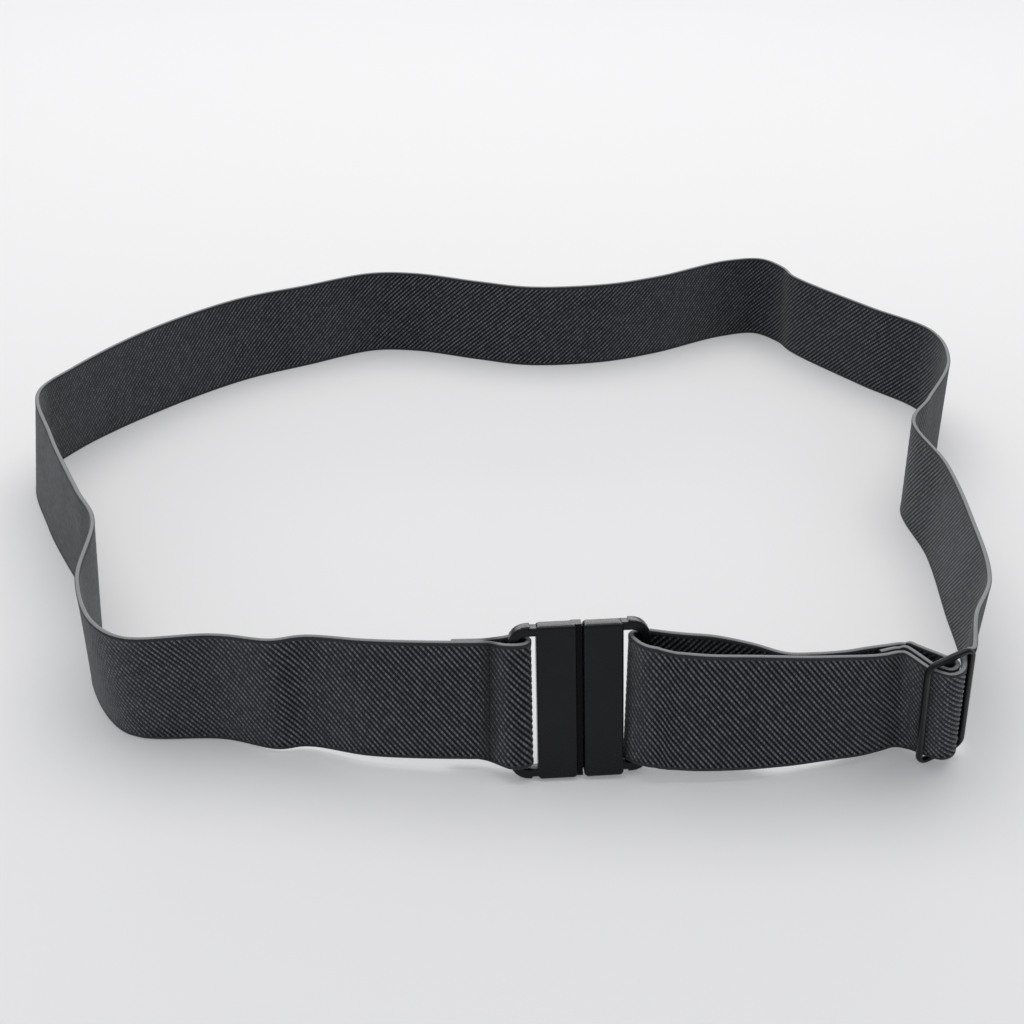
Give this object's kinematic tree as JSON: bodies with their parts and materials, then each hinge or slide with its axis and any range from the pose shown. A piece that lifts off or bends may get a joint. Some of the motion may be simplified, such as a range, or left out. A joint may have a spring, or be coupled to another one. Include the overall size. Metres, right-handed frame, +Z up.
{
  "type": "elastic stretch belt",
  "caption": "Wide dark twill-ribbed elastic waist belt standing on its lower edge as a closed wavy loop, with a black two-piece hook buckle and a black wire slider.",
  "frame": {"origin": "on the surface the belt stands on, under the middle of its bounding box", "axes": "+Z up, the way the belt stands; +X to the wearer's left along the longest side, with the buckle on the -Y side"},
  "size_m": [0.3646, 0.3558, 0.0469],
  "materials": {
    "webbing": "matte twill ribs",
    "buckle": "satin black",
    "slider": "satin black"
  },
  "bodies": {
    "root": {"strap": "webbing", "buckle_hook_half": "buckle", "buckle_catch_half": "buckle", "slider": "slider"}
  },
  "joints": []
}
